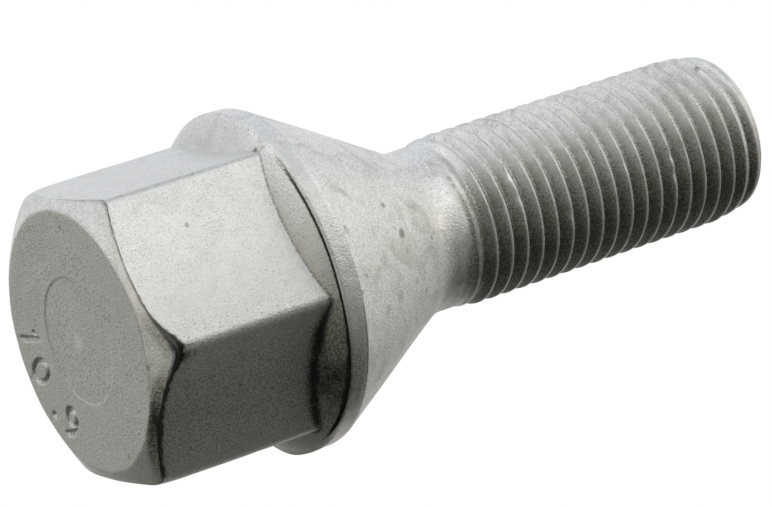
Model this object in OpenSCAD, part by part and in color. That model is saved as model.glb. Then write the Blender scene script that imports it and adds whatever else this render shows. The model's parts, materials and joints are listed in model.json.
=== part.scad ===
// Wheel bolt, forged and rolled in one piece of steel: a tall hexagon head,
// a conical seat under a round collar, a short plain neck and a threaded shank.
// It stands on the flat face of its head. The axis is +Z, towards the tip.
// Sizes are millimetres.

/* [Hexagon head] */
// Width of the hexagon across its flats, the size of the socket
across_flats = 19; // [17:0.5:22]
// Height of a flat at its middle, from the head's face to the collar
flat_height = 12.2; // [8:0.1:18]
// Width of the round flat face on the end of the head
face_d = 17.6; // [15:0.1:18.2]
// Slope of the chamfer round the face, from the face's own plane
chamfer_angle = 30; // [25:1:45]
// Height at which a forged corner reaches its full width
corner_fill_height = 3; // [2.5:0.1:7]
// How far the chamfer cuts in from the full corner before it turns up the corner
corner_underfill = 0.3; // [0.2:0.05:0.9]

/* [Mark of the punch in the face] */
// Width of the shallow round hollow in the middle of the face
hollow_d = 8.6; // [4:0.1:12]
// Depth of that hollow
hollow_depth = 0.15; // [0.05:0.05:0.6]

/* [Collar] */
// How far the collar stands out past the hexagon's corners
collar_lip = 0.73; // [0.6:0.05:3]
// Height of the collar's straight rim
rim_height = 1; // [0.2:0.05:3]
// Radius of the crowned surface that joins the flats to the collar
crown_r = 9; // [6:0.1:12]
// Slope of the crown where it leaves the middle of a flat
crown_angle = 24; // [10:1:30]
// Depth of the flash line between the crown and the rim
crease_depth = 0.14; // [0.05:0.01:0.25]
// Rounding of the rim's edge on the head's side
rim_front_r = 0.3; // [0.2:0.05:0.4]
// Rounding of the rim's edge on the cone's side
rim_back_r = 0.6; // [0.4:0.1:1.5]

/* [Conical seat] */
// Angle of the whole cone, from side to side
seat_angle = 60; // [50:1:80]
// Radius of the fillet between the cone and the neck
neck_fillet_r = 3; // [1:0.1:5]

/* [Shank] */
// Nominal diameter of the thread
thread_d = 12; // [10:0.5:14]
// Distance from one turn of the thread to the next
thread_pitch = 1.25; // [1:0.25:1.75]
// How much the thread is made under its nominal diameter, for a free fit
thread_allowance = 0.05; // [0:0.01:0.1]
// Length of the shank, from the small end of the cone to the tip
shank_length = 26.5; // [18:0.1:60]
// Length of full thread, with the chamfer at the tip
thread_length = 22.6; // [12:0.1:24]
// Length over which the rolled thread rises out of the neck, in turns
run_in_turns = 1.6; // [0.5:0.1:2]
// Height of the chamfer at the tip
tip_chamfer = 1.4; // [0.4:0.05:2]
// Slope of the tip's chamfer, from the axis
tip_angle = 24; // [20:1:45]
// Rounding of the edge of the tip
tip_r = 0.3; // [0.1:0.05:0.4]

/* [Hidden] */

// Flat sides to every full round arc of an outline
arc_step = 6;
// Depth by which solids that are joined run into one another
bite = 1.5;

flat_r = across_flats / 2;
corner_r = flat_r / cos(30);
face_r = face_d / 2;
collar_r = corner_r + collar_lip;

// The lip in front of the rim starts where the rim's front rounding is this steep
lip_turn = 75;

// The crown is an arc that leaves the middle of a flat and ends at the crease
crown_centre = [flat_r - crown_r * sin(crown_angle), flat_height + crown_r * cos(crown_angle)];
lip_r = collar_r - rim_front_r * (1 - cos(lip_turn));
crease_r = lip_r - crease_depth;
crown_end = asin((crease_r - crown_centre[0]) / crown_r);
crease_z = crown_centre[1] - crown_r * cos(crown_end);

// The lip is level with the crown's edge, and the rim turns into the cone
rim_z = crease_z + rim_front_r * sin(lip_turn);
cone_half = seat_angle / 2;
rim_end_z = rim_z + rim_height;
cone_start = [
    collar_r - rim_back_r * (1 - cos(cone_half)),
    rim_end_z + rim_back_r * sin(cone_half)
];

// A rolled thread stands as far out of the bare shank as its roots sink into it
thread_r = (thread_d - thread_allowance) / 2;
neck_r = thread_r - 0.3 * thread_pitch;
cone_end_z = cone_start[1] + (cone_start[0] - neck_r) / tan(cone_half);
fillet_z = cone_end_z + neck_fillet_r * tan(cone_half / 2);
tip_z = cone_end_z + shank_length;
run_in = run_in_turns * thread_pitch;
thread_z = max(tip_z - thread_length, fillet_z + run_in + 0.3);
tip_face_r = thread_r - tip_chamfer * tan(tip_angle);

// Points on an arc of radius r about c, from angle a to angle b
function arc(c, r, a, b) =
    let (n = max(2, ceil(abs(b - a) / arc_step)))
    [for (i = [0:n]) c + r * [cos(a + (b - a) * i / n), sin(a + (b - a) * i / n)]];

// Round envelope of the forged head: the chamfer, then corners that fill slowly
module head_envelope() {
    turn_r = corner_r - corner_underfill;
    turn_z = (turn_r - face_r) * tan(chamfer_angle);
    fill = corner_fill_height - turn_z;
    // A quarter of an ellipse carries the corner from the chamfer to full width
    fill_curve = [
        for (a = [15:15:90])
            [turn_r + corner_underfill * sin(a), corner_fill_height - fill * cos(a)]
    ];
    rotate_extrude($fn = 96)
        polygon(concat(
            [[0, 0], [face_r, 0], [turn_r, turn_z]],
            fill_curve,
            [
                [corner_r + 0.2, corner_fill_height + 0.5],
                [corner_r + 0.2, crease_z + bite],
                [0, crease_z + bite]
            ]
        ));
}

// Six flats for the socket, which run a little way into the collar
module hexagon_head() {
    intersection() {
        cylinder(r = corner_r, h = rim_z, $fn = 6);
        head_envelope();
    }
}

// Collar with its crowned front, crease and rim, then the cone and its fillet
module collar_and_seat() {
    rotate_extrude($fn = 96)
        polygon(concat(
            [
                [0, flat_height - bite],
                [flat_r - bite, flat_height - bite]
            ],
            arc(crown_centre, crown_r, crown_angle - 93, crown_end - 90),
            [[crease_r + crease_depth / 2, crease_z + crease_depth]],
            arc([collar_r - rim_front_r, rim_z], rim_front_r, -lip_turn, 0),
            arc([collar_r - rim_back_r, rim_end_z], rim_back_r, 0, cone_half),
            arc([neck_r + neck_fillet_r, fillet_z], neck_fillet_r, 180 + cone_half, 180),
            [
                [neck_r, fillet_z + 0.2],
                [0, fillet_z + 0.2]
            ]
        ));
}

// Neck at the bare size, the run-in, and the shank at the thread's outer size
module shank() {
    rotate_extrude($fn = 96)
        polygon(concat(
            [
                [0, fillet_z - bite],
                [neck_r, fillet_z - bite],
                [neck_r, thread_z - run_in],
                [thread_r, thread_z],
                [thread_r, tip_z - tip_chamfer]
            ],
            arc([tip_face_r - tip_r, tip_z - tip_r], tip_r, 90 - tip_angle, 90),
            [[0, tip_z]]
        ));
}

// Shallow dished hollow that the forging punch leaves in the face
module punch_hollow() {
    translate([0, 0, -bite])
        cylinder(d = hollow_d, h = bite + hollow_depth, $fn = 96);
}

module wheel_bolt() {
    color([0.66, 0.66, 0.64])
        difference() {
            union() {
                hexagon_head();
                collar_and_seat();
                shank();
            }
            punch_hollow();
        }
}

wheel_bolt();
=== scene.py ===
# %% [markdown]
# A wheel bolt: forged head, conical seat and rolled thread, with a matte grey
# zinc flake coating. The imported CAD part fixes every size. This script dresses
# it: it builds one smooth skin over the solid, with the soft edges, the stamped
# mark and the helical thread that the real bolt has, and gives it its finish.

# %% Load the frame
import json
import math

import bpy
import numpy as np
from mathutils import Matrix, Vector


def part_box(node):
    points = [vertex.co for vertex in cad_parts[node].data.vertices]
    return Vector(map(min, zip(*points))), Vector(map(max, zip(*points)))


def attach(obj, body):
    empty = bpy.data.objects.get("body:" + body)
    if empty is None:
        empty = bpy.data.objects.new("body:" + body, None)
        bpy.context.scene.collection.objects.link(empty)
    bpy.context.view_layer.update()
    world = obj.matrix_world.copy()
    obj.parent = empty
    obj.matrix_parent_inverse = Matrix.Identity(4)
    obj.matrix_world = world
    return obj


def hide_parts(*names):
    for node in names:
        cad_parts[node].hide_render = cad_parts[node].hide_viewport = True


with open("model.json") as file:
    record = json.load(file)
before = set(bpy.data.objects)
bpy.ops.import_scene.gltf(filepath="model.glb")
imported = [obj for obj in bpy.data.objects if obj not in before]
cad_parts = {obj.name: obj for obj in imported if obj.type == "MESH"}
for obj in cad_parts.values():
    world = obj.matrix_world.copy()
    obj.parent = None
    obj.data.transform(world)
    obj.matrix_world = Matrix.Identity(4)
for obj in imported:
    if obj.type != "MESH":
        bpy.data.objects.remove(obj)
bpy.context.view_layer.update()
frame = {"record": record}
MM = 0.001
mounts = {mount["name"]: mount for mount in frame["record"]["mounts"]}
low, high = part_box("wheel_bolt")
print("CAD box, mm:", [round(v / MM, 2) for v in (*low, *high)])

# %% [markdown]
# The skin starts from the same driving sizes as the CAD source, in millimetres.
# The total height, the collar and the thread's outer radius are read from the
# frame, so the skin can't drift away from the solid that it stands for.

# %% Sizes of the bolt
tip_z = high.z / MM
collar_r = high.x / MM
thread_r = mounts["thread"]["dims"]["r_mm"]
thread_pitch = 1.25
neck_r = thread_r - 0.3 * thread_pitch
flat_r = 19 / 2
flat_height = 12.2
face_r = 17.6 / 2
chamfer_slope = math.tan(math.radians(30))
crown_r = 9.0
crown_angle = math.radians(24)
crease_depth = 0.14
rim_front_r = 0.3
lip_turn = math.radians(75)
rim_height = 1.0
rim_back_r = 0.6
cone_half = math.radians(30)
neck_fillet_r = 3.0
run_in = 1.6 * thread_pitch
tip_chamfer = 1.4
tip_slope = math.tan(math.radians(24))
hollow_r = 8.6 / 2
hollow_depth = 0.055

crown_centre = (
    flat_r - crown_r * math.sin(crown_angle),
    flat_height + crown_r * math.cos(crown_angle),
)
lip_r = collar_r - rim_front_r * (1 - math.cos(lip_turn))
crease_r = lip_r - crease_depth
crease_z = crown_centre[1] - math.sqrt(crown_r**2 - (crease_r - crown_centre[0])**2)
rim_z = crease_z + rim_front_r * math.sin(lip_turn)
rim_end_z = rim_z + rim_height
cone_start = (
    collar_r - rim_back_r * (1 - math.cos(cone_half)),
    rim_end_z + rim_back_r * math.sin(cone_half),
)
cone_end_z = cone_start[1] + (cone_start[0] - neck_r) / math.tan(cone_half)
fillet_z = cone_end_z + neck_fillet_r * math.tan(cone_half / 2)
print("crease, rim, cone end, neck:", [round(v, 2) for v in (crease_z, rim_z, cone_end_z, fillet_z)])


def smooth(x):
    """The S curve 3x^2 - 2x^3, held at 0 below x = 0 and at 1 above x = 1."""
    x = np.clip(x, 0, 1)
    return x * x * (3 - 2 * x)


def hump(angle, centre, width):
    """A hump round one direction: exp(-(d / width)^2), d the degrees between angle and centre."""
    d = (np.degrees(angle) - centre + 180) % 360 - 180
    return np.exp(-(d / width)**2)


# %% [markdown]
# Every surface of the bolt is a stack of rings. A ring is a closed loop of points
# round the axis, and each point is given by its angle, its radius and its height.
# Bands of quads join rings that have the same angles. Where the number of points
# changes, such as from the fine marks on the face to the plain chamfer, a zip of
# triangles joins the two loops. Two numbers ride on each point for the finish:
# soil, the dirt that lies in creases and roots together with painted shade there
# and on the bolt's dark side, and wear, the coating rubbed thin on crests and edges
# together with painted light on lit sides. The same bolt could be built with a lathe
# profile, a Bevel and a boolean or two, but then every edge has one width all round.
# Rings let each column of points differ, as on a forging.

# %% A mesh that grows ring by ring
class Skin:
    """Points and faces of the bolt, with a value of soil and painted shade and one of wear and painted light
    for each point.
    """

    def __init__(self):
        self.points = []
        self.soil_and_shade = []
        self.wear_and_light = []
        self.faces = []
        self.count = 0

    def ring(self, angle, radius, height, soil_and_shade=0.0, wear_and_light=0.0):
        """Adds points at (radius cos angle, radius sin angle, height); returns their numbers."""
        angle, radius, height, soil_and_shade, wear_and_light = np.broadcast_arrays(angle, radius, height, soil_and_shade, wear_and_light)
        block = np.stack([radius * np.cos(angle), radius * np.sin(angle), height], -1)
        numbers = self.count + np.arange(angle.size).reshape(angle.shape)
        self.points.append(block.reshape(-1, 3))
        self.soil_and_shade.append(soil_and_shade.ravel())
        self.wear_and_light.append(wear_and_light.ravel())
        self.count += angle.size
        return numbers

    def band(self, rows):
        """Joins rows of a grid (row, column) with quads, closed round the columns."""
        near = rows[:-1]
        far = rows[1:]
        quads = np.stack([near, np.roll(near, -1, 1), np.roll(far, -1, 1), far], -1)
        self.faces.append(quads.reshape(-1, 4))

    def zip(self, first, first_at, second, second_at):
        """Joins two closed loops with triangles, taking the loops' points in order of angle.
        first_at and second_at run from 0 to 2 pi and may hold equal values."""
        at = np.concatenate([first_at, second_at])
        side = np.concatenate([np.zeros(first.size, int), np.ones(second.size, int)])
        order = np.lexsort((side, at))
        side = side[order]
        on_first = np.cumsum(side == 0)
        on_second = np.cumsum(side == 1)
        before_first = first[(on_first - 1 - (side == 0)) % first.size]
        before_second = second[(on_second - 1 - (side == 1)) % second.size]
        new = np.concatenate([first, second])[order]
        self.faces.append(np.stack([before_first, new, before_second], -1))

    def build(self, name):
        """Makes the Blender mesh, smooth shaded, with soil and painted shade, and wear and painted light, as
        point attributes.
        """
        points = np.concatenate(self.points) * MM
        mesh = bpy.data.meshes.new(name)
        mesh.from_pydata(points.tolist(), [], [f for block in self.faces for f in block.tolist()])
        for label, blocks in (("soil_and_shade", self.soil_and_shade), ("wear_and_light", self.wear_and_light)):
            layer = mesh.attributes.new(label, "FLOAT", "POINT")
            layer.data.foreach_set("value", np.concatenate(blocks).astype(np.float32))
        mesh.shade_smooth()
        mesh.update()
        piece = bpy.data.objects.new(name, mesh)
        bpy.context.scene.collection.objects.link(piece)
        return piece


def angles(step, finer=()):
    """Angles round the axis every step degrees, with finer stretches (centre, half width, step)."""
    turns = np.arange(0, 360, step)
    for centre, half, fine in finer:
        away = np.abs((turns - centre + 180) % 360 - 180)
        stretch = np.arange(centre - half, centre + half + fine / 2, fine)
        turns = np.concatenate([turns[away > half + fine / 2], stretch % 360])
    return np.radians(np.sort(turns))


skin = Skin()
print("angles at 2.5 degrees:", angles(2.5).size)

# %% [markdown]
# The hexagon's corners are rounded. Forging fills a corner from the collar's side,
# so near the face the corner is rounder: its radius grows towards the face, and on
# this bolt one corner was left much less filled than the others. A bevelled prism
# has the same corner from end to end, so the outline is a formula of the height. The
# flats stay 19 mm apart, because a socket has to fit them.

# %% The hexagon's outline at any height
# Radius in mm of each corner, from the one at angle 0, and what is added to it at the face
corner_round = np.array([0.78, 0.78, 1.1, 0.6, 0.8, 1.15])
corner_unfilled = np.array([0.6, 1.9, 2.0, 0.5, 1.3, 4.5])
unfilled_height = 1.3


def hexagon(angle, height):
    """Radius of the hexagon at each angle: flat_r / cos(angle from a flat's middle), and in the
    corners the outer crossing of the ray with a circle of the corner's radius."""
    away = (angle + math.pi / 6) % (math.pi / 3) - math.pi / 6
    corner = np.round(angle / (math.pi / 3)).astype(int) % 6
    unfilled = corner_unfilled[corner] * np.exp(-(np.maximum(height, 0) / unfilled_height)**1.5)
    rounding = corner_round[corner] + unfilled
    centre = (flat_r - rounding) / math.cos(math.pi / 6)
    on_flat = flat_r / np.cos(math.pi / 6 - np.abs(away))
    inside = np.maximum(rounding**2 - (centre * np.sin(away))**2, 0)
    on_corner = centre * np.cos(away) + np.sqrt(inside)
    along = on_flat * np.sin(math.pi / 6 - np.abs(away))
    return np.where(along > centre / 2, on_corner, on_flat)


def unevenness(angle, height):
    """Slight waves that forging leaves in the flats, in mm: crossed sine waves of 2 to 6 mm."""
    x = flat_r * np.cos(angle)
    y = flat_r * np.sin(angle)
    return 0.004 * (
        np.sin(1.9 * height + 0.7 * x + 1.1) * np.sin(1.1 * y - 0.6 * height)
        + np.sin(1.2 * height - 1.6 * y + 0.4 + np.sin(0.8 * x))
        + np.sin(2.6 * x + 1.9 * y - 1.7 * height) * np.sin(0.9 * height + x)
    )


def soften(before, vertex, after, width, count):
    """Points on a quadratic Bezier curve that rounds vertex off, between the points at width
    from it towards before and towards after. Each point is a (radius, height) pair."""
    width = np.asarray(width)[..., None]
    way_in = (before - vertex) / np.linalg.norm(before - vertex, axis=-1, keepdims=True)
    way_out = (after - vertex) / np.linalg.norm(after - vertex, axis=-1, keepdims=True)
    start = vertex + width * way_in
    end = vertex + width * way_out
    return [
        (1 - t)**2 * start + 2 * t * (1 - t) * vertex + t**2 * end
        for t in np.linspace(0, 1, count)
    ]


print("across two corners, mm:", hexagon(np.radians([0.0, 180.0]), np.full(2, flat_height)).sum().round(2))

# %% [markdown]
# The face carries a shallow hollow and a strength mark, stamped into it. The mark is
# the plain strength class of such bolts. Its figures could be a text cut out with a
# boolean, but a struck mark has soft, sloping walls. So the face is a fine polar
# grid whose height is a function of place, and the mark's depth there is worked out
# from the distance to the nearest arc or line of a figure. The face isn't quite
# true: it falls away a little on one side, and its edge is not quite round.

# %% The strength mark
face_soft = 0.14
face_lift = 0.25
lift_way = math.radians(20)
mark_r = 6.95
mark_depth = 0.22
stroke = 0.2
mark_places = (("one", -123), ("nought", -141.5), ("point", -163), ("nine", -178.5))


def face_edge(angle):
    """Radius of the face's edge: face_r, with low bulges where the chamfer was cut less."""
    bulges = 0.2 * hump(angle, -117, 20) + 0.24 * hump(angle, -158, 26)
    bulges = bulges + 0.12 * hump(angle, -130, 55) + 0.1 * hump(angle, 172, 12)
    bulges = bulges + 0.06 * hump(angle, 20, 20) + 0.16 * hump(angle, 44, 10)
    return face_r + bulges + 0.035 * np.sin(13 * angle + 1) * np.sin(5 * angle)


def lifted(radius, angle):
    """How far the face falls away from its plane: 0 on most of it, up to face_lift at one side."""
    return face_lift * smooth((radius * np.cos(angle - lift_way) + 2) / 11)


def to_arc(u, v, centre, radius, start, end):
    """Distance to an arc: along it the distance to its circle, past its ends to the end point."""
    turn = np.arctan2(v - centre[1], u - centre[0])
    turn = np.clip(turn, math.radians(start), math.radians(end))
    return np.hypot(u - centre[0] - radius * np.cos(turn), v - centre[1] - radius * np.sin(turn))


def to_line(u, v, start, end):
    """Distance to a straight stroke: t is the nearest place on it, from 0 to 1."""
    du, dv = end[0] - start[0], end[1] - start[1]
    t = np.clip(((u - start[0]) * du + (v - start[1]) * dv) / (du**2 + dv**2), 0, 1)
    return np.hypot(u - start[0] - t * du, v - start[1] - t * dv)


def stamped(x, y):
    """Depth of the strength mark: full on a stroke's line, falling to 0 beside it. The figures
    stand on the face's edge and lean to its middle: u runs along the line of writing, v up."""
    depth = np.zeros_like(x)
    for figure, degrees in mark_places:
        place = math.radians(degrees)
        u = x * math.sin(place) - y * math.cos(place)
        v = mark_r - x * math.cos(place) - y * math.sin(place)
        if figure == "one":
            away = np.minimum(to_line(u, v, (0, -1.2), (0, 1.2)), to_line(u, v, (-0.45, 0.75), (0, 1.2)))
        elif figure == "nought":
            away = 0.9 * np.abs(np.hypot(u / 0.72, v / 1.15) - 1)
        elif figure == "point":
            away = np.hypot(u, v + 1.1) - 0.06
        else:
            ring = to_arc(u, v, (0, 0.55), 0.6, -180, 180)
            away = np.minimum(ring, to_arc(u, v, (-1.2, 0.55), 1.8, -64, 0))
        depth = np.maximum(depth, smooth(1.3 - away / stroke))
    return mark_depth * depth


print("figures in the mark:", len(mark_places))


# %% Grid of the end face
def face_height(radius, angle):
    """Height of the face: its fall to one side, up by the hollow's depth inside hollow_r, up in
    the stamped mark, with a slight unevenness that the punch leaves. The hollow leans, so
    it is deepest towards 235 degrees."""
    lean = 0.62 + 0.42 * np.cos(angle - math.radians(235)) * np.minimum(radius / hollow_r, 1)
    hollow = hollow_depth * lean * smooth((hollow_r + 0.1 * np.cos(angle) + 0.05 - radius) / 0.16)
    uneven = 0.012 * (1 + np.sin(radius * 1.1 + 2 * angle) * np.cos(3 * angle + radius))
    uneven = uneven * smooth((face_edge(angle) - 0.3 - radius) / 1.5)
    marks = stamped(radius * np.cos(angle), radius * np.sin(angle))
    return lifted(radius, angle) + hollow + uneven + marks


# The grid is fine across the hollow's edge and under the mark
face_angles = angles(2.5, [(-149, 41, 0.6)])
face_radii = np.concatenate([
    np.linspace(0.8, hollow_r - 0.5, 4),
    np.linspace(hollow_r - 0.25, hollow_r + 0.2, 9),
    np.linspace(hollow_r + 0.6, mark_r - 1.5, 2),
    np.arange(mark_r - 1.4, mark_r + 1.45, 0.08),
])
radius_grid, angle_grid = np.meshgrid(face_radii, face_angles, indexing="ij")
radius_grid = np.vstack([radius_grid, face_edge(face_angles) - face_soft - 0.12])
angle_grid = np.vstack([angle_grid, face_angles])
height_grid = face_height(radius_grid, angle_grid)
height_grid[-1] = lifted(radius_grid[-1], face_angles)
in_mark = stamped(radius_grid * np.cos(angle_grid), radius_grid * np.sin(angle_grid)) / mark_depth
face_soil = 0.12
soil_grid = face_soil + 0.06 * in_mark
middle = skin.ring(np.zeros(1), 0.0, float(face_height(np.zeros(1), np.zeros(1))[0]))
face_rows = skin.ring(angle_grid, radius_grid, height_grid, soil_grid)
skin.faces.append(np.stack([
    np.full(face_angles.size, middle[0]), np.roll(face_rows[0], -1), face_rows[0]], -1))
skin.band(face_rows)
print("face grid:", face_rows.shape)

# %% [markdown]
# From the face to the collar each column of the head is a profile of its own: face
# edge, chamfer, flat, crown. Its corners are softened one by one, so each edge of
# the real bolt gets its own width, and rows of points follow it. A Bevel modifier
# would be quicker, but its width is the same everywhere. Just behind the front edge
# of the flats runs a fine groove, where forging folded the metal over. It is deep
# and full of dirt and painted shade on one flat, and thin on the others.

# %% Where the chamfer meets the flats
head_angles = angles(2.0, [(90, 34, 0.8)] + [(corner, 5.2, 0.4) for corner in range(0, 360, 60)])
degrees_round = np.degrees(head_angles)
rim_line_r = face_edge(head_angles)
rim_line_z = lifted(rim_line_r, head_angles)
# The edge is where the chamfer's cone reaches the hexagon, found by taking half steps
edge_z = np.full(head_angles.size, 1.0)
for _ in range(25):
    edge_z = 0.5 * edge_z + 0.5 * (
        rim_line_z + (hexagon(head_angles, edge_z) - rim_line_r) * chamfer_slope)
edge_r = hexagon(head_angles, edge_z)
print("front edge of the flats, mm:", edge_z.min().round(2), "to", edge_z.max().round(2))


# %% Line of dirt and painted shade, and fold, along the front edge
def along_edge(table):
    """Columns of a table whose rows start with an angle in degrees, read off at every angle."""
    table = np.array(table).T
    return [np.interp(degrees_round, table[0], values, period=360) for values in table[1:]]


# Angle, then middle and half width in mm and strength of the line of dirt and painted shade on
# the front edge, the fold's depth, and the dirt and painted shade on the chamfer beside it
line_middle, line_half, line_dirt_and_shade, fold, chamfer_dirt_and_shade = along_edge([
    (5, 0.02, 0.09, 0.8, 0.01, 0.03), (20, 0.02, 0.07, 0.6, 0.01, 0.03), (35, 0.0, 0.08, 0.7, 0.01, 0.05),
    (45, 0.0, 0.12, 0.9, 0.02, 0.10), (50, 0.0, 0.17, 1.2, 0.03, 0.18), (55, 0.14, 0.34, 1.7, 0.06, 0.26),
    (60, 0.24, 0.42, 2.0, 0.08, 0.22), (64, 0.26, 0.36, 2.0, 0.08, 0.12), (68, 0.12, 0.23, 1.8, 0.06, 0.16),
    (73, 0.06, 0.2, 1.7, 0.06, 0.35), (79, 0.04, 0.18, 1.7, 0.06, 0.55), (84, 0.05, 0.17, 1.7, 0.05, 0.8),
    (88, 0.04, 0.18, 1.7, 0.05, 0.9), (93, 0.0, 0.26, 1.7, 0.06, 0.88), (99, 0.0, 0.22, 1.7, 0.06, 0.78),
    (104, 0.03, 0.18, 1.7, 0.06, 0.66), (111, 0.03, 0.17, 1.6, 0.05, 0.5), (116, 0.03, 0.17, 1.4, 0.04, 0.3),
    (122, 0.0, 0.08, 0.5, 0.02, 0.1), (150, 0.0, 0.05, 0.25, 0.01, 0.03), (215, 0.02, 0.08, 0.4, 0.03, 0.05),
    (260, 0.0, 0.05, 0.2, 0.01, 0.03), (300, 0.02, 0.06, 0.3, 0.02, 0.05),
    (325, 0.0, 0.05, 0.12, 0.01, 0.02),
])
edge_soft = 0.05 + 0.09 * hump(head_angles, 150, 30) + 0.05 * hump(head_angles, -90, 60)
back_soft = 0.1
print("widest dirt line, mm:", (2 * line_half.max()).round(2))

# %% [markdown]
# The crown is the rounded front of the collar, that the flats stand on. A true arc
# turned round the axis would be enough for a drawing. On this bolt the metal bulged
# towards the head on one side, and the flash line where the dies met wanders, so the
# crown's height depends on the angle too.


# %% Height of the crown
def crown_height(radius, angle):
    """Height of the crown: an arc of radius crown_r, lower where the metal bulged towards the
    head, and higher where the flash line drifts towards the cone."""
    arc_z = crown_centre[1] - np.sqrt(crown_r**2 - (radius - crown_centre[0])**2)
    bulge = 0.5 * hump(angle, -76, 27) + 0.16 * hump(angle, 158, 24)
    bulge = bulge * smooth((radius - 9.6) / 1.2) * (1 - 0.8 * smooth((radius - 11) / 0.8))
    drift = 0.22 * hump(angle, 102, 26) + 0.14 * hump(angle, 80, 16) + 0.1 * hump(angle, 52, 24)
    gaping = 0.1 * hump(angle, 91, 14) * smooth((radius - crease_r + 0.3) / 0.3)
    return arc_z - bulge + drift * smooth((radius - 10.4) / 1.0) + gaping


# The crease before the rim is open from about 4 to 128 degrees: 1 is open, 0 closed
crease_open = smooth((degrees_round - 4) / 20) * smooth((128 - degrees_round) / 16)
back_r = hexagon(head_angles, np.full(head_angles.size, flat_height))
back_z = crown_height(back_r, head_angles)
print("back edge of the flats, mm:", back_z.min().round(2), "to", back_z.max().round(2))

# %% Rows of points from the face to the crease
face_vertex = np.stack([rim_line_r, rim_line_z], -1)
inner = np.stack([rim_line_r - 1, lifted(rim_line_r - 1, head_angles)], -1)
front_edge = np.stack([edge_r, edge_z], -1)
back_edge = np.stack([back_r, back_z], -1)
above_front = np.stack([hexagon(head_angles, edge_z + 0.4), edge_z + 0.4], -1)
below_back = np.stack([back_r, back_z - 0.5], -1)
beyond_back = np.stack([back_r + 0.4, crown_height(back_r + 0.4, head_angles)], -1)

rows = []
rows += soften(inner, face_vertex, front_edge, face_soft, 6)
chamfer_long = np.linalg.norm(face_vertex - front_edge, axis=-1, keepdims=True)
up_chamfer = (face_vertex - front_edge) / chamfer_long
chamfer_rows = len(rows)
chamfer_flat = chamfer_long - face_soft - edge_soft[:, None]
for t in (0.86, 0.7, 0.55, 0.42, 0.3, 0.2, 0.12):
    rows.append(front_edge + up_chamfer * (edge_soft[:, None] + chamfer_flat * t))
rows += soften(face_vertex, front_edge, above_front, edge_soft, 5)
flat_row = len(rows)
for offset in (0.1, 0.15, 0.2, 0.26, 0.32, 0.38, 0.46, 0.6, 0.8):
    z = edge_z + offset + 0.5 * edge_soft
    dip = fold * np.exp(-((offset - line_middle - 0.1) / 0.14)**2)
    rows.append(np.stack([hexagon(head_angles, z) - dip, z], -1))
flat_from = edge_z + 0.9
for t in np.append(np.linspace(0.04, 0.85, 20), (0.89, 0.92, 0.945, 0.965, 0.98)):
    z = flat_from + (back_z - back_soft - flat_from) * t
    wave = unevenness(head_angles, z) * smooth((1 - np.abs(2 * t - 1)) / 0.3)
    rows.append(np.stack([hexagon(head_angles, z) + wave, z], -1))
back_row = len(rows)
rows += soften(below_back, back_edge, beyond_back, back_soft, 5)
outer_r = rows[-1][:, 0]
for t in (0.08, 0.18, 0.3, 0.42, 0.55, 0.68, 0.8, 0.88, 0.94, 0.97, 1.0):
    r = outer_r + (crease_r - outer_r) * t
    rows.append(np.stack([r, crown_height(r, head_angles)], -1))
profile = np.stack(rows)
row_number = np.arange(len(rows))[:, None]
print("rows on the head:", len(rows))

# %% [markdown]
# Dirt stays where a rag doesn't reach: in the fold on the front edge, in the crease,
# and as a film on the lower flats. The same strips also hold painted shade: in the
# fold and the crease, in the corner between the flats and the crown, and on the dark
# side of the crown and the chamfer. It could be painted as a texture. Here each strip
# is a soft hump across its line, with middle, width and strength from a table of
# angles, so it follows the edges exactly. The cut chamfer is lighter where it is clean.

# %% Dirt, wear and painted shade on the head
# Distance of every point from the flats' front edge, less than 0 on the chamfer, and
# from their back edge, less than 0 on the flats
from_front = np.linalg.norm(profile - front_edge, axis=-1) * np.where(row_number < flat_row - 2, -1, 1)
from_back = np.linalg.norm(profile - back_edge, axis=-1) * np.where(row_number < back_row + 3, -1, 1)
uneven_line = 1 + 0.25 * np.sin(1.1 * degrees_round) * np.sin(0.43 * degrees_round + 1)
# The front edge's line of dirt and painted shade in the fold
head_soil_and_shade = line_dirt_and_shade * np.exp(-np.abs((from_front - line_middle) / (line_half * uneven_line))**3)
on_chamfer = np.where(from_front < 0, smooth((1.2 + from_front) / 0.6), 0) * (row_number >= 1)
# Dirt and painted shade on the chamfer beside the darker flat
head_soil_and_shade = np.maximum(head_soil_and_shade, chamfer_dirt_and_shade * on_chamfer)

# Angle, then middle and half width in mm and strength of the painted shade in the corner between
# flat and crown, and the painted shade and dirt on the crown beside it
corner_middle, corner_half, corner_shade_strength, crown_shade_and_dirt = along_edge([
    (0, 0.03, 0.07, 0.4, 0.02), (25, 0.03, 0.07, 0.4, 0.03), (45, 0.03, 0.08, 0.3, 0.05),
    (58, 0.0, 0.12, 0.45, 0.1), (63, -0.05, 0.38, 0.85, 0.22), (70, -0.18, 0.62, 1.05, 0.34),
    (80, -0.12, 0.66, 1.1, 0.42), (88, -0.05, 0.66, 1.1, 0.8), (96, 0.0, 0.64, 1.1, 0.8),
    (104, 0.0, 0.58, 1.1, 0.42), (114, 0.03, 0.42, 1.0, 0.2), (122, 0.05, 0.2, 0.8, 0.12),
    (130, 0.03, 0.06, 0.3, 0.08), (180, 0.03, 0.05, 0.1, 0.03), (300, 0.03, 0.05, 0.06, 0.03),
    (352, 0.03, 0.06, 0.1, 0.02),
])
# Painted shade in the concave corner between the flats and the crown
corner_shade_and_dirt = corner_shade_strength * np.exp(-((from_back - corner_middle) / corner_half)**2)
# A blob of dirt at the front corner near 63 degrees joins the corner band
by_front = 1.3 * hump(head_angles, 63, 2.5) * np.exp(-(np.maximum(from_front, 0) / 1.1)**2)
corner_shade_and_dirt = np.maximum(corner_shade_and_dirt, by_front * (row_number >= flat_row - 2))
head_soil_and_shade = np.maximum(head_soil_and_shade, corner_shade_and_dirt)
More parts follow.
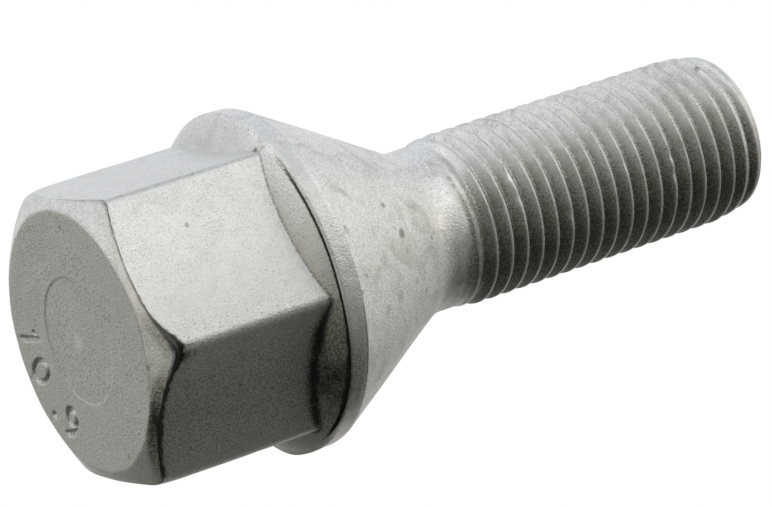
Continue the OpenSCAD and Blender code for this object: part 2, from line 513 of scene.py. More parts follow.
# Painted shade with some dirt on the crown's dark side
on_crown = (row_number >= back_row + 3) * crown_shade_and_dirt
to_crease = np.linalg.norm(profile - profile[-1], axis=-1)
# Dirt and painted shadow by the crease under the rim's lip, widest on the dark side
by_crease = 1.3 * crease_open * np.exp(-(to_crease / (0.06 + 0.36 * hump(head_angles, 91, 15)))**2)
head_soil_and_shade = np.maximum(head_soil_and_shade, np.maximum(on_crown, by_crease))
flat_dust = 0.03 + 0.16 * hump(head_angles, 90, 34) + 0.1 * hump(head_angles, 0, 0.8)
head_soil_and_shade = np.maximum(head_soil_and_shade, flat_dust * (row_number >= flat_row))
head_soil_and_shade[:4] = np.maximum(head_soil_and_shade[:4], face_soil)
on_cut = (row_number >= chamfer_rows) * (row_number < flat_row - 2)
head_wear = 0.5 * on_cut * (1 - np.minimum(chamfer_dirt_and_shade * 3, 1))
print("most dirt on the head:", head_soil_and_shade.max().round(2))

# %% Add the head to the skin
head_rows = skin.ring(head_angles, profile[..., 0], profile[..., 1], head_soil_and_shade, head_wear)
skin.band(head_rows)
skin.zip(face_rows[-1], face_angles, head_rows[0], head_angles)
print("head grid:", head_rows.shape)

# %% [markdown]
# Collar rim, cone and neck are turned shapes. One profile is carried round the axis.
# A Screw modifier does that too, but it gives every section the same shape, and here
# the flash, the rubbed rim and the crease change on the way round. The crease in
# front of the rim is where the forging dies met. It is open along most of the collar,
# with dirt and painted shadow in it, and closed where the metal flowed over it. The
# rim and the neck are painted lighter at some sides, as painted light.


# %% Profile of rim, cone and neck
def arc(centre, radius, start, end, count):
    """Points on an arc about centre, from angle start to angle end, in degrees."""
    turn = np.radians(np.linspace(start, end, count))
    return [(centre[0] + radius * math.cos(a), centre[1] + radius * math.sin(a)) for a in turn]


half_deg = math.degrees(cone_half)
turned = [(crease_r + t * crease_depth, 0.0) for t in (0.25, 0.5, 0.75)]
rim_from = len(turned)
rim_back = rim_from + 10
turned += arc((collar_r - rim_front_r, rim_z), rim_front_r, -math.degrees(lip_turn), 0, 7)
turned += [(collar_r, rim_z + rim_height * t) for t in (0.25, 0.5, 0.75)]
turned += arc((collar_r - rim_back_r, rim_end_z), rim_back_r, 0, half_deg, 5)
fillet = arc((neck_r + neck_fillet_r, fillet_z), neck_fillet_r, 180 + half_deg, 180, 8)
cone_from = np.array(turned[-1])
turned += [tuple(cone_from + (np.array(fillet[0]) - cone_from) * t) for t in np.linspace(0.06, 0.94, 14)]
turned += fillet
level_r, level_z = np.array(turned).T[..., None]
print("points in the profile:", len(turned))

# %% Rings of rim, cone and neck
turned_r = level_r + 0 * head_angles
turned_z = level_z + 0 * head_angles
groove_drop = crease_depth * np.array([[0.8], [1.3], [1.0]]) * crease_open
turned_z[:rim_from] = crown_height(turned_r[:rim_from], head_angles) + groove_drop
level_lip = crown_centre[1] - math.sqrt(crown_r**2 - (lip_r - crown_centre[0])**2)
bulged = level_lip - crown_height(np.full(head_angles.size, lip_r), head_angles)
front = 1 - smooth((level_r - lip_r) / (collar_r - lip_r))
front[:rim_from] = 0
front[rim_from + 6:] = 0
turned_z -= front * bulged
# Where the crease is closed, the crown runs into the rim without a kink
lip = slice(rim_from, rim_from + 6)
kink = np.maximum(crown_height(turned_r[lip], head_angles) - turned_z[lip], 0)
below_rim = turned_z[rim_from + 6] - 0.01 * np.arange(6, 0, -1)[:, None]
turned_z[lip] = np.minimum(turned_z[lip] + (1 - crease_open) * kink, below_rim)

# Flash stands out on the rim's front, the rim and cone are rubbed at one side and ripple
# slightly, and the neck is fuller at one side
flash = 0.05 * hump(head_angles, 163, 24) + 0.14 * hump(head_angles, 151, 9)
flash = flash * np.exp(-((level_z - rim_z) / 0.25)**2)
rubbed = 0.05 * hump(head_angles, 140, 22) * smooth((level_z - rim_z - 0.2) / 0.5)
ripple = 0.015 * np.sin(3 * head_angles + 0.8 * level_z)
fade = smooth((cone_end_z - level_z) / 3) * smooth((level_z - crease_z) / 0.3)
full_neck = 0.07 * hump(head_angles, 139, 60) * smooth((level_z - cone_end_z + 1.5) / 2.0)
turned_r = turned_r + flash + (ripple - rubbed + 0.02) * fade + full_neck
print("widest of the rim, mm:", (2 * turned_r.max()).round(2))

# %% Dirt, painted shade and painted light on rim, cone and neck
turned_soil_and_shade = np.zeros_like(turned_z)
turned_soil_and_shade[:rim_from] = crease_open
darkest_stretch = hump(head_angles, 88, 17)
# Dirt and painted shadow on each ring from the crease on: along all of it, and what its darkest
# stretch adds
by_groove = np.array([[0.7, 1.0], [0.25, 1.2], [0.06, 1.2], [0.03, 1.0], [0.02, 0.7], [0.02, 0.45],
                      [0.02, 0.3], [0.02, 0.24], [0.02, 0.2], [0.02, 0.18]])
turned_soil_and_shade[rim_from:rim_back] = crease_open * (by_groove[:, :1] + by_groove[:, 1:] * darkest_stretch)
turned_soil_and_shade[rim_from + 2:rim_back] += 0.07 * hump(head_angles, 22, 22)
back_edge_soil = np.array([[0.1], [0.5], [1.0], [0.2]])
turned_soil_and_shade[rim_back:rim_back + 4] = back_edge_soil * (0.05 + 0.6 * hump(head_angles, 76, 20))
# Painted light: the rim is lighter at two sides and the neck at one side, where light falls
turned_painted_light = np.zeros_like(turned_z)
turned_painted_light[rim_from + 2:rim_back + 2] = 1.3 * hump(head_angles, 120, 12) + 0.8 * hump(head_angles, 58, 16)
on_neck = smooth((level_z - cone_end_z + 1.2) / 1.6)
turned_painted_light = np.maximum(turned_painted_light, 1.2 * hump(head_angles, 50, 17) * on_neck)
turned_rows = skin.ring(head_angles[None], turned_r, turned_z, turned_soil_and_shade, turned_painted_light)
skin.band(np.concatenate([head_rows[-1:], turned_rows]))
print("turned grid:", turned_rows.shape)

# %% [markdown]
# The thread is rolled. A Screw modifier could carry its section up the helix, but at
# the neck the rollers only bite gradually, and at the tip the thread is chamfered
# away, so the section changes on the way. Here the rows follow the helix, so every
# crest and root is one clean line: the height of a row grows by one pitch each turn,
# and the row that leaves the seam joins the row one turn further up. The section is
# the metric one, with sides at 60 degrees, flat crests and round roots.

# %% Section of the thread
thread_height = thread_pitch * math.sqrt(3) / 2
crest = 0.375 * thread_height
root = -0.30 * thread_height
# The tip's chamfer, blended in softly, takes 0.03 mm off all crests. This gives back a part.
crest_allowance = 0.015
pitch_r = thread_r + crest_allowance - crest


def soft_max(a, b, sharpness):
    """The larger of a and b, with the corner between them rounded over about 1 / sharpness."""
    return np.logaddexp(a * sharpness, b * sharpness) / sharpness


def thread_form(place):
    """Radius of the thread above its pitch radius, place in turns from a root: a triangle wave
    of height H, cut flat at 3/8 H for the crest and rounded at -0.3 H for the root."""
    place = (place + 0.5) % 1 - 0.5
    wave = thread_height * (2 * np.abs(place) - 0.5)
    wave = -soft_max(-wave, -crest, 40)
    return soft_max(wave, root, 16)


print("depth of the thread, mm:", round(crest - root, 3))

# %% Grid along the helix
# Places of the rows within one turn, in turns from a root, closest at the crest
one_turn = np.array([
    -0.5, -0.46, -0.435, -0.41, -0.35, -0.26, -0.17, -0.11, -0.055,
    0.0, 0.055, 0.11, 0.17, 0.26, 0.35, 0.41, 0.435, 0.46,
])
per_turn = one_turn.size
seam_angle = math.radians(0.6)
turn_angles = angles(3.0)
# Height of a crest at the seam, less whole turns
crest_z = 1.222
bite_z = fillet_z + 0.9
start_z = crest_z + thread_pitch * math.floor((bite_z - 0.5 - crest_z) / thread_pitch)
turns = math.ceil((tip_z - start_z) / thread_pitch) + 2
place = (np.arange(turns)[:, None] + one_turn).ravel()[:, None]
along = start_z + thread_pitch * (place + 0.5 + turn_angles / (2 * math.pi))
place = np.broadcast_to(place, along.shape)

# The bare shank turns into the thread over the run-in
bite = smooth((along - bite_z) / (run_in + 0.5))
bare_r = neck_r + 0.07 * hump(turn_angles, 139, 60)
row_r = bare_r + bite * (pitch_r - bare_r + thread_form(place))

# At the tip a rounded chamfer cuts the thread, and rows past the tip lie on its end
# face and close towards the axis
end_sharpness = 25
closing = 3.2
tip_hole_r = 0.7
lead = np.clip((along - tip_z) / (2 * tip_chamfer) + 1, 0, 2)
chamfer = thread_r - 0.8 * tip_chamfer * tip_slope * lead**1.3
row_r = -soft_max(-row_r, -chamfer, end_sharpness)
row_r = row_r - closing * soft_max(along - tip_z, 0, end_sharpness)
row_z = tip_z - soft_max(tip_z - along, 0, end_sharpness)
last = int(np.argmax((row_r < tip_hole_r).any(1)))
along, row_r, row_z, place = along[:last], row_r[:last], row_z[:last], place[:last]
print("rows along the helix:", last)

# %% [markdown]
# Roots hold grease and dust, and they and the flanks carry painted shade, most on the
# lower side; the first groove at the neck has painted shade too. The crests are rubbed
# where the bolt was handled, with a painted highlight on one side. On another side the
# grooves are painted lighter, and the neck has a painted highlight. All of it depends
# on the place across the thread and on the angle, so it rides on the same points as
# the shape.

# %% Dirt, wear, painted shade and painted light on the thread
# away is 0 in a root and 0.5 on a crest
away = np.abs((place + 0.5) % 1 - 0.5)
on_crest = smooth((away - 0.4) / 0.04)
on_thread = bite[:last] * smooth((tip_z - along) / 0.3)
# Painted shade on the flanks, strongest on the dark side
painted_flank_shade = 0.02 + 0.42 * hump(turn_angles, 92, 30) + 0.05 * hump(turn_angles, 45, 30)
dull_crest = 0.15 * hump(turn_angles, 14, 34) * on_thread
# Painted shade in the first groove at the neck
entry = smooth((along - bite_z + 0.5) / 0.7) * (1 - bite[:last])
first_groove = (0.5 * hump(turn_angles, 92, 24) + 0.25 * hump(turn_angles, 50, 30)) * entry
# Dirt and painted shade in the roots
root_dirt_and_shade = 0.03 + 0.2 * hump(turn_angles, 62, 30) + 0.12 * hump(turn_angles, 14, 26)
thread_soil_and_shade = (on_thread * painted_flank_shade + first_groove) * smooth((0.44 - away) / 0.04)
thread_soil_and_shade = thread_soil_and_shade + on_thread * root_dirt_and_shade * smooth(1.25 - away / 0.16)
thread_soil_and_shade = thread_soil_and_shade + dull_crest * on_crest
# Crests are worn, with a painted highlight on one side
crest_wear_and_highlight = 0.04 + 0.25 * hump(turn_angles, 62, 30)
# Grooves painted lighter on the lit side, as painted light
painted_groove_light = hump(turn_angles, -30, 33) * (0.9 - 0.5 * smooth((along - 36) / 12))
# Painted highlight on the neck before the thread
lit_neck = 1.2 * hump(turn_angles, 50, 17) * smooth((bite_z + 0.4 - along) / 0.4)
thread_wear_and_light = on_thread * crest_wear_and_highlight * smooth((away - 0.42) / 0.03)
thread_wear_and_light = thread_wear_and_light + on_thread * painted_groove_light * smooth((0.42 - away) / 0.1) + lit_neck
end_face_clean = smooth((tip_z - along) / 0.15)
thread_soil_and_shade = thread_soil_and_shade * end_face_clean
thread_wear_and_light = thread_wear_and_light * end_face_clean
print("most soil on the thread:", thread_soil_and_shade.max().round(2))

# %% Knocks on the crests
# Knocks that the crests took: angle in degrees, height, depth and half length in mm
knocks = (
    (31, 31.24, 0.13, 0.5), (47, 31.23, 0.12, 0.35), (48, 40.34, 0.09, 0.3), (52, 43.93, 0.13, 0.3),
    (65, 44.03, 0.16, 0.35), (56, 50.65, 0.08, 0.4), (18, 36.3, 0.08, 0.3), (70, 35.2, 0.07, 0.3),
    (160, 33.6, 0.1, 0.4), (205, 47.2, 0.12, 0.4), (262, 38.9, 0.1, 0.3), (300, 45.8, 0.09, 0.4),
)
for knock_angle, knock_z, knock_depth, half_length in knocks:
    across = ((turn_angles - math.radians(knock_angle) + math.pi) % (2 * math.pi) - math.pi) * thread_r
    reach = np.exp(-(across / half_length)**2 - ((row_z - knock_z) / 0.45)**2)
    reach = reach * smooth((away - 0.3) / 0.12)
    row_r = row_r - knock_depth * reach
    thread_wear_and_light = thread_wear_and_light + 0.8 * reach
print("knocks:", len(knocks))

# %% [markdown]
# The grid's rows are joined with quads, and its two sides with each other one turn
# further up. Its two ends are helical loops with a step of one pitch at the seam, so
# they are zipped to the neck's last ring and to a small ring at the tip's middle.

# %% Add the thread and close its ends
thread_rows = skin.ring(seam_angle + turn_angles, row_r, row_z, thread_soil_and_shade, thread_wear_and_light)
near, far = thread_rows[:-1], thread_rows[1:]
skin.faces.append(np.stack([near[:, :-1], near[:, 1:], far[:, 1:], far[:, :-1]], -1).reshape(-1, 4))
left, right = thread_rows[:-per_turn, -1], thread_rows[per_turn:, 0]
skin.faces.append(np.stack([left[:-1], right[:-1], right[1:], left[1:]], -1))
past_seam = (head_angles - seam_angle) % (2 * math.pi)
order = np.argsort(past_seam)
low_step = thread_rows[per_turn:0:-1, 0]
high_step = thread_rows[-2:-2 - per_turn:-1, -1]
loop_at = np.concatenate([turn_angles, np.full(per_turn, 2 * math.pi)])
skin.zip(turned_rows[-1][order], past_seam[order], np.concatenate([thread_rows[0], low_step]), loop_at)
# The tip's ring has a point just past the thread's last column, for the step's triangles
tip_angles = angles(20) + math.radians(18.5)
tip_ring = skin.ring(seam_angle + tip_angles, tip_hole_r / 2, tip_z)
skin.zip(np.concatenate([thread_rows[-1], high_step]), loop_at, tip_ring, tip_angles)
tip_middle = skin.ring(np.zeros(1), 0.0, tip_z)
skin.faces.append(np.stack([tip_ring, np.roll(tip_ring, -1), np.full(tip_ring.size, tip_middle[0])], -1))
print("thread grid:", thread_rows.shape)

# %% [markdown]
# The finished skin replaces the plain solid. It rides on the root body.

# %% Put the skin in place
bolt = skin.build("coated_bolt")
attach(bolt, "root")
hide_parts("wheel_bolt")
print("triangles:", sum(len(p.vertices) - 2 for p in bolt.data.polygons))

# %% [markdown]
# A material could be wired by hand. Here one small function adds a node of any kind,
# with what goes in and its settings. Colours are written as sRGB hex, as a colour
# picker shows them, and turned into Blender's linear values.


# %% Node helper and colours
def linear(hex_colour):
    """Linear RGBA of an sRGB hex colour."""
    parts = [int(hex_colour[i:i + 2], 16) / 255 for i in (1, 3, 5)]
    return tuple(c / 12.92 if c <= 0.04045 else ((c + 0.055) / 1.055)**2.4 for c in parts) + (1.0,)


def add(tree, kind, inputs=(), **settings):
    """Adds a node of a kind. inputs maps a socket's name or number to a value, or to an output
    socket that is linked to it. settings are the node's own properties."""
    node = tree.nodes.new(kind)
    for name, value in settings.items():
        setattr(node, name, value)
    for socket, value in dict(inputs).items():
        if isinstance(value, bpy.types.NodeSocket):
            tree.links.new(value, node.inputs[socket])
        else:
            node.inputs[socket].default_value = value
    return node


def new_material(name):
    """A material with an empty node tree and its output node."""
    material = bpy.data.materials.new(name)
    material.use_nodes = True
    material.node_tree.nodes.clear()
    return material, material.node_tree, material.node_tree.nodes.new("ShaderNodeOutputMaterial")


def per_mm(size):
    """Scale of a pattern in Object coordinates whose features are size mm wide."""
    return 1 / (size * MM)


print("mid grey, linear:", round(linear("#808080")[0], 3))

# %% [markdown]
# The coating is zinc and aluminium flake in a thin binder, dipped and baked on the
# forged steel. It is a matte silver grey that scatters light almost like paint, with
# a broad metallic sheen. Shot blasting before the coat leaves a fine grain. A picture
# of the coating would have to be unwrapped and would repeat. Noise in the bolt's own
# coordinates needs no seams and keeps its size in mm.

# %% Grain and tone of the coating
coating, tree, output = new_material("zinc_flake_coating_on_forged_steel")
place_on_bolt = add(tree, "ShaderNodeTexCoord").outputs["Object"]
# The blasted grain is about 0.05 mm wide on the bolt. It is drawn at 0.12 mm, to show.
grain = add(tree, "ShaderNodeTexNoise", {
    "Vector": place_on_bolt, "Scale": per_mm(0.12), "Detail": 1.0, "Roughness": 0.6})
# The coat dried in mottles about 0.8 mm wide and in clouds about 4.5 mm wide
mottle = add(tree, "ShaderNodeTexNoise", {
    "Vector": place_on_bolt, "Scale": per_mm(0.8), "Detail": 3.0, "Roughness": 0.55})
clouds = add(tree, "ShaderNodeTexNoise", {
    "Vector": place_on_bolt, "Scale": per_mm(4.5), "Detail": 2.0})
tone = add(tree, "ShaderNodeMath", {0: grain.outputs["Fac"], 1: 1.15, 2: 0.245}, operation="MULTIPLY_ADD")
tone = add(tree, "ShaderNodeMath", {
    0: mottle.outputs["Fac"], 1: 0.20, 2: tone.outputs[0]}, operation="MULTIPLY_ADD")
tone = add(tree, "ShaderNodeMath", {
    0: clouds.outputs["Fac"], 1: 0.16, 2: tone.outputs[0]}, operation="MULTIPLY_ADD")
coat = add(tree, "ShaderNodeMix", {
    "Factor": 1.0, "A": linear("#CDCCC7"), "B": tone.outputs[0]}, data_type="RGBA", blend_type="MULTIPLY")
print("scale of the grain, per m:", round(per_mm(0.12)))

# %% [markdown]
# Small dark specks are pits and dust in the coating. A few larger stains and chips sit
# where they are on the real bolt. They could be painted on. A list of places is easier
# to change: each is a soft ball round a place, roughened by the mottle.

# %% Specks and stains
# Handling left smudges about 2.2 mm wide, stronger on the cone than on the head
smudge = add(tree, "ShaderNodeTexNoise", {
    "Vector": place_on_bolt, "Scale": per_mm(2.2), "Detail": 5.0, "Roughness": 0.6, "Distortion": 0.6})
along_axis = add(tree, "ShaderNodeSeparateXYZ", {0: place_on_bolt})
on_cone = add(tree, "ShaderNodeMapRange", {
    "Value": along_axis.outputs["Z"], 1: 12 * MM, 2: 16 * MM, 3: 0.14, 4: 0.6})
smudged = add(tree, "ShaderNodeMapRange", {
    "Value": smudge.outputs["Fac"], 1: 0.5, 2: 0.75, 4: on_cone.outputs[0]})
coat = add(tree, "ShaderNodeMix", {
    "Factor": smudged.outputs[0], "A": coat.outputs["Result"], "B": linear("#8E8C7E")}, data_type="RGBA")
# Specks lie in cells 1.5 mm wide, at most one in each, and most cells have a tiny one or none
cells = add(tree, "ShaderNodeTexVoronoi", {"Vector": place_on_bolt, "Scale": per_mm(1.5)})
speck_size = add(tree, "ShaderNodeSeparateColor", {0: cells.outputs["Color"]})
speck_edge = add(tree, "ShaderNodeMath", {
    0: speck_size.outputs[0], 1: 0.17, 2: -0.05}, operation="MULTIPLY_ADD")
speck = add(tree, "ShaderNodeMath", {
    0: speck_edge.outputs[0], 1: cells.outputs["Distance"]}, operation="SUBTRACT")
stain = add(tree, "ShaderNodeMath", {
    0: speck.outputs[0], 1: 9.0}, operation="MULTIPLY", use_clamp=True).outputs[0]

# Angle in degrees, distance from the axis, height, radius in mm and strength of each stain
stains = (
    (45.9, 8.29, 20.70, 0.42, 0.8), (31.9, 8.74, 19.92, 0.25, 0.7), (53.8, 6.54, 23.74, 0.2, 0.6),
    (39.0, 11.52, 15.10, 0.22, 0.6), (55.5, 11.3, 15.56, 0.2, 0.5), (8.9, 9.6, 18.43, 0.2, 0.6),
    (-2.0, 10.85, 12.98, 0.3, 1.0), (84.5, 9.54, 6.38, 0.24, 0.7), (91.6, 9.5, 8.90, 0.2, 0.6),
    (75.8, 9.8, 4.18, 0.16, 0.5), (16.8, 9.76, 5.95, 0.2, 0.5), (-24, 7.81, 0.1, 0.26, 0.8),
    (-21, 7.61, 0.1, 0.18, 0.7), (7, 6.66, 0.1, 0.25, 0.5), (15, 7.53, 0.1, 0.2, 0.5),
    (123, 8.25, 0.1, 0.3, 0.8), (76, 6.05, 0.1, 0.2, 0.5), (66, 8.86, 0.2, 0.25, 0.6),
    (355.1, 5.9, 49.65, 0.4, 0.95), (-13, 11.6, 13.35, 0.14, 0.7), (-10, 11.5, 13.35, 0.14, 0.7),
    (-7, 11.6, 13.38, 0.13, 0.6), (-2, 11.4, 13.3, 0.12, 0.5), (0, 11.15, 13.2, 0.12, 0.4),
    (42.9, 8.59, 20.16, 0.2, 0.45), (32.6, 7.04, 22.86, 0.75, 0.22), (40.1, 11.51, 15.14, 0.4, 0.4),
    (54.2, 8.3, 20.69, 0.3, 0.3), (43.3, 7.36, 22.32, 0.5, 0.2), (70.2, 8.03, 21.17, 0.3, 0.4),
    (79.2, 7.4, 22.22, 0.3, 0.4), (70.9, 9.23, 19.06, 0.5, 0.3), (72.4, 10.15, 17.44, 0.5, 0.3),
    (56.1, 11.14, 15.76, 0.24, 0.6), (60.3, 11.62, 14.93, 0.24, 0.5), (19.3, 5.6, 27.28, 0.3, 0.5),
    (25.1, 5.6, 27.28, 0.24, 0.5), (-8.8, 10.17, 1.02, 0.35, 0.2), (-30.1, 9.5, 1.13, 0.25, 0.3),
)
for angle, distance, height, size, strength in stains:
    turn = math.radians(angle)
    spot = (distance * math.cos(turn) * MM, distance * math.sin(turn) * MM, height * MM)
    apart = add(tree, "ShaderNodeVectorMath", {0: place_on_bolt, 1: spot}, operation="DISTANCE")
    ball = add(tree, "ShaderNodeMath", {
        0: apart.outputs["Value"], 1: -1 / (size * MM), 2: mottle.outputs["Fac"]}, operation="MULTIPLY_ADD")
    ball = add(tree, "ShaderNodeMath", {0: ball.outputs[0], 1: 0.5}, operation="ADD")
    ball = add(tree, "ShaderNodeMath", {
        0: ball.outputs[0], 1: 1.8 * strength}, operation="MULTIPLY", use_clamp=True)
    ball = add(tree, "ShaderNodeMath", {0: ball.outputs[0], 1: strength}, operation="MINIMUM")
    stain = add(tree, "ShaderNodeMath", {0: stain, 1: ball.outputs[0]}, operation="MAXIMUM").outputs[0]
stained = add(tree, "ShaderNodeMix", {
    "Factor": add(tree, "ShaderNodeMath", {0: stain, 1: 0.8}, operation="MULTIPLY").outputs[0],
    "A": coat.outputs["Result"], "B": linear("#3E392E")}, data_type="RGBA")
print("stains:", len(stains))

# %% [markdown]
# Dirt and wear come from the skin's two attributes, with painted shade and painted
# light in them. Thin dirt and light painted shade dull the coat to an olive grey, and
# thick dirt and deep painted shade cover it. Its edge is broken up by the grain, so it
# looks like deposits. Worn coat and painted light are lighter, in patches.

# %% Dirt, wear, painted shade and painted light
soil_and_shade = add(tree, "ShaderNodeAttribute", attribute_name="soil_and_shade")
ragged = add(tree, "ShaderNodeMath", {0: mottle.outputs["Fac"], 1: 1.1, 2: 0.0}, operation="MULTIPLY_ADD")
ragged = add(tree, "ShaderNodeMath", {
    0: grain.outputs["Fac"], 1: 0.9, 2: ragged.outputs[0]}, operation="MULTIPLY_ADD")
dirt_and_shade = add(tree, "ShaderNodeMath", {0: soil_and_shade.outputs["Fac"], 1: ragged.outputs[0]}, operation="MULTIPLY")
speckled = add(tree, "ShaderNodeMath", {0: grain.outputs["Fac"], 1: 11.0, 2: -4.5}, operation="MULTIPLY_ADD")
dust_and_shade = add(tree, "ShaderNodeMath", {0: soil_and_shade.outputs["Fac"], 1: speckled.outputs[0]}, operation="MULTIPLY")
thin = add(tree, "ShaderNodeMapRange", {"Value": dust_and_shade.outputs[0], 1: 0.02, 2: 0.35})
thick = add(tree, "ShaderNodeMapRange", {"Value": dirt_and_shade.outputs[0], 1: 0.25, 2: 0.95})
# Near black #1D1A14 is thick dirt, and painted shade in the corners, crease, crown and roots
tinted = add(tree, "ShaderNodeMix", {
    "Factor": thin.outputs[0], "A": stained.outputs["Result"], "B": linear("#8E8D7C")}, data_type="RGBA")
dirty_and_shaded = add(tree, "ShaderNodeMix", {
    "Factor": thick.outputs[0], "A": tinted.outputs["Result"], "B": linear("#1D1A14")}, data_type="RGBA")
wear_and_light = add(tree, "ShaderNodeAttribute", attribute_name="wear_and_light")
patchy = add(tree, "ShaderNodeMath", {0: mottle.outputs["Fac"], 1: 2.4, 2: -1.6}, operation="MULTIPLY_ADD")
patchy = add(tree, "ShaderNodeMath", {
    0: grain.outputs["Fac"], 1: 2.2, 2: patchy.outputs[0]}, operation="MULTIPLY_ADD")
wear_and_light_patches = add(tree, "ShaderNodeMath", {
    0: wear_and_light.outputs["Fac"], 1: patchy.outputs[0]}, operation="MULTIPLY", use_clamp=True)
# The light #E6E4DE is worn coat, and painted light on the rim, the neck and the thread
worn_and_lit = add(tree, "ShaderNodeMix", {
    "Factor": wear_and_light_patches.outputs[0], "A": dirty_and_shaded.outputs["Result"],
    "B": linear("#E6E4DE")}, data_type="RGBA")
print("nodes so far:", len(tree.nodes))

# %% [markdown]
# Flakes in a binder shine half like metal and half like paint, so the coat is half
# metallic, and less under thick dirt and deep painted shade. Grain and mottle stand 0.03 mm
# high. Real points for them would take millions of faces, so a bump node tilts the light instead.

# %% Shader of the coating
relief = add(tree, "ShaderNodeMath", {
    0: mottle.outputs["Fac"], 1: 0.7, 2: grain.outputs["Fac"]}, operation="MULTIPLY_ADD")
bump = add(tree, "ShaderNodeBump", {"Height": relief.outputs[0], "Strength": 1.0, "Distance": 0.03 * MM})
flake = add(tree, "ShaderNodeMath", {0: thick.outputs[0], 1: -0.5, 2: 0.55}, operation="MULTIPLY_ADD")
shader = add(tree, "ShaderNodeBsdfPrincipled", {
    "Base Color": worn_and_lit.outputs["Result"], "Metallic": flake.outputs[0], "Roughness": 0.45,
    "Normal": bump.outputs[0]})
tree.links.new(shader.outputs[0], output.inputs["Surface"])
bolt.data.materials.append(coating)
print("nodes in the coating:", len(tree.nodes))

# %% [markdown]
# The camera stands where the photograph was taken from. It was found by fitting the
# sizes of the bolt to the outlines in the photograph: it is low on the head's side,
# and turned so that the axis runs up to the right.

# %% Camera at the photograph's angle
camera_data = bpy.data.cameras.new("camera")
camera_data.sensor_width = 36
camera_data.lens = 197.068
camera_data.clip_start = 0.01
camera = bpy.data.objects.new("camera", camera_data)
bpy.context.scene.collection.objects.link(camera)
camera_place = Vector((169.555, 181.789, -113.965)) * MM
camera_aim = Vector((-0.593, 0.557, 23.673)) * MM
axis_lean = math.radians(71.614)
forward = (camera_aim - camera_place).normalized()
axis_seen = (Vector((0, 0, 1)) - forward * forward.z).normalized()
up = axis_seen * math.cos(axis_lean) - forward.cross(axis_seen) * math.sin(axis_lean)
right = forward.cross(up)
camera.matrix_world = Matrix.Translation(camera_place) @ Matrix(
    (right, up, -forward)).transposed().to_4x4()
bpy.context.scene.camera = camera
print("camera to bolt, mm:", round((camera_aim - camera_place).length / MM))


def seen_way(across, above, nearer):
    """A direction given as the camera sees it: to the right, up, and towards the camera."""
    return (right * across + up * above - forward * nearer).normalized()


# %% [markdown]
# The bolt stood in a white tent that was open towards the camera and below, so that
# side stays dark. The world is that tent: white all round behind and above the bolt,
# and dark on the open side. Six softboxes stand above, to the sides and behind.

# %% The white tent
world = bpy.data.worlds.new("white_tent")
bpy.context.scene.world = world
world.use_nodes = True
sky = world.node_tree
sky.nodes.clear()
looking = add(sky, "ShaderNodeTexCoord").outputs["Generated"]
open_side = add(sky, "ShaderNodeVectorMath", {
    0: looking, 1: seen_way(0.18, -0.85, 0.49)}, operation="DOT_PRODUCT")
tent = add(sky, "ShaderNodeMapRange", {
    "Value": open_side.outputs["Value"], 1: -0.4, 2: 0.1, 3: 1.0, 4: 0.08}, interpolation_type="SMOOTHSTEP")
overhead = add(sky, "ShaderNodeVectorMath", {
    0: looking, 1: seen_way(-0.3, 0.95, 0)}, operation="DOT_PRODUCT")
coolness = add(sky, "ShaderNodeMapRange", {"Value": overhead.outputs["Value"], 1: 0.2, 2: 0.8})
tint = add(sky, "ShaderNodeMix", {
    "Factor": coolness.outputs[0], "A": (1, 1, 1, 1), "B": linear("#E9F0FF")}, data_type="RGBA")
background = add(sky, "ShaderNodeBackground", {"Color": tint.outputs["Result"], "Strength": tent.outputs[0]})
add(sky, "ShaderNodeOutputWorld", {0: background.outputs[0]})
print("nodes in the tent:", len(sky.nodes))

# %% [markdown]
# A softbox is a lamp behind a white cloth. An area lamp does the same: it is large for
# its distance, so shadows are soft.


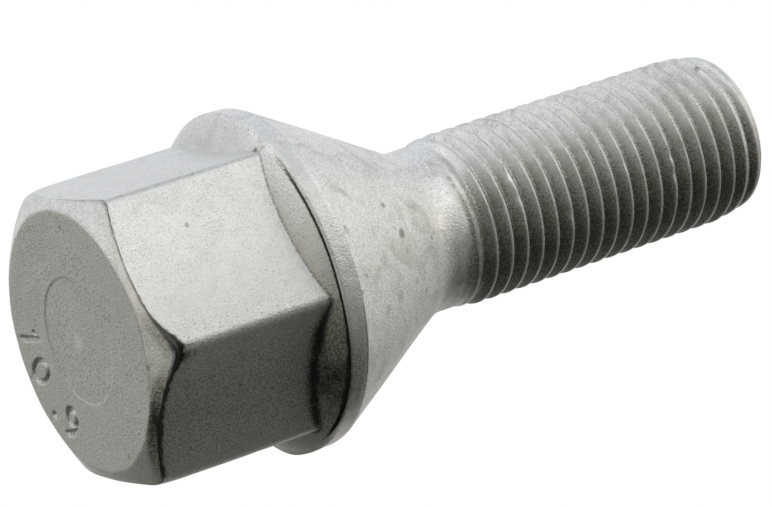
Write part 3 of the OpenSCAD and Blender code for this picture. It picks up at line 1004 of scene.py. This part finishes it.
# %% Softboxes
def softbox(name, direction, strength, colour="#FFFFFF"):
    """A square area lamp as wide as 0.84 of its distance, looking at the bolt, with its
    strength as radiance: energy = strength x area x pi. The camera doesn't see the lamp."""
    distance = 0.6
    data = bpy.data.lights.new(name, "AREA")
    data.shape = "SQUARE"
    data.size = 0.84 * distance
    data.energy = strength * data.size**2 * math.pi
    data.color = linear(colour)[:3]
    lamp = bpy.data.objects.new(name, data)
    bpy.context.scene.collection.objects.link(lamp)
    toward = seen_way(*direction)
    lamp.location = camera_aim + toward * distance
    lamp.rotation_euler = toward.to_track_quat("Z", "Y").to_euler()
    lamp.visible_camera = False
    print(name, "softbox, W:", round(data.energy, 2))


softbox("upper_left", (-0.63, 0.66, 0.41), 1.33, "#F8FAFF")
softbox("right", (0.88, 0.48, 0.03), 0.85, "#FFF8EC")
softbox("upper_right", (0.42, 0.70, 0.57), 1.5)
softbox("left", (-0.84, -0.08, 0.5), 1.0, "#FFFAEC")
softbox("right_behind", (0.87, 0.1, -0.47), 0.6)
softbox("low_behind", (0.2, -0.6, -0.77), 0.5)

# %% [markdown]
# The floor is a plain pale sheet that the bolt stands on.

# %% Floor
floor_mesh = bpy.data.meshes.new("floor")
half = 1.5
floor_mesh.from_pydata(
    [(-half, -half, 0), (half, -half, 0), (half, half, 0), (-half, half, 0)], [], [(0, 1, 2, 3)])
floor = bpy.data.objects.new("floor", floor_mesh)
# 0.2 mm under the face, so the two surfaces don't coincide
floor.location.z = -0.2 * MM
bpy.context.scene.collection.objects.link(floor)
paper, paper_tree, paper_output = new_material("pale_paper")
paper_shader = add(paper_tree, "ShaderNodeBsdfPrincipled", {
    "Base Color": linear("#EDECE8"), "Roughness": 0.8})
clear = add(paper_tree, "ShaderNodeBsdfTransparent")
sides = add(paper_tree, "ShaderNodeNewGeometry")
sheet = add(paper_tree, "ShaderNodeMixShader", {
    0: sides.outputs["Backfacing"], 1: paper_shader.outputs[0], 2: clear.outputs[0]})
paper_tree.links.new(sheet.outputs[0], paper_output.inputs["Surface"])
floor_mesh.materials.append(paper)
floor.visible_shadow = False
floor.visible_diffuse = False
floor.visible_glossy = False
print("floor at mm:", round(floor.location.z / MM, 2))

# %% [markdown]
# The Standard view transform shows colours as they are, as a product picture needs.

bpy.context.scene.view_settings.view_transform = "Standard"
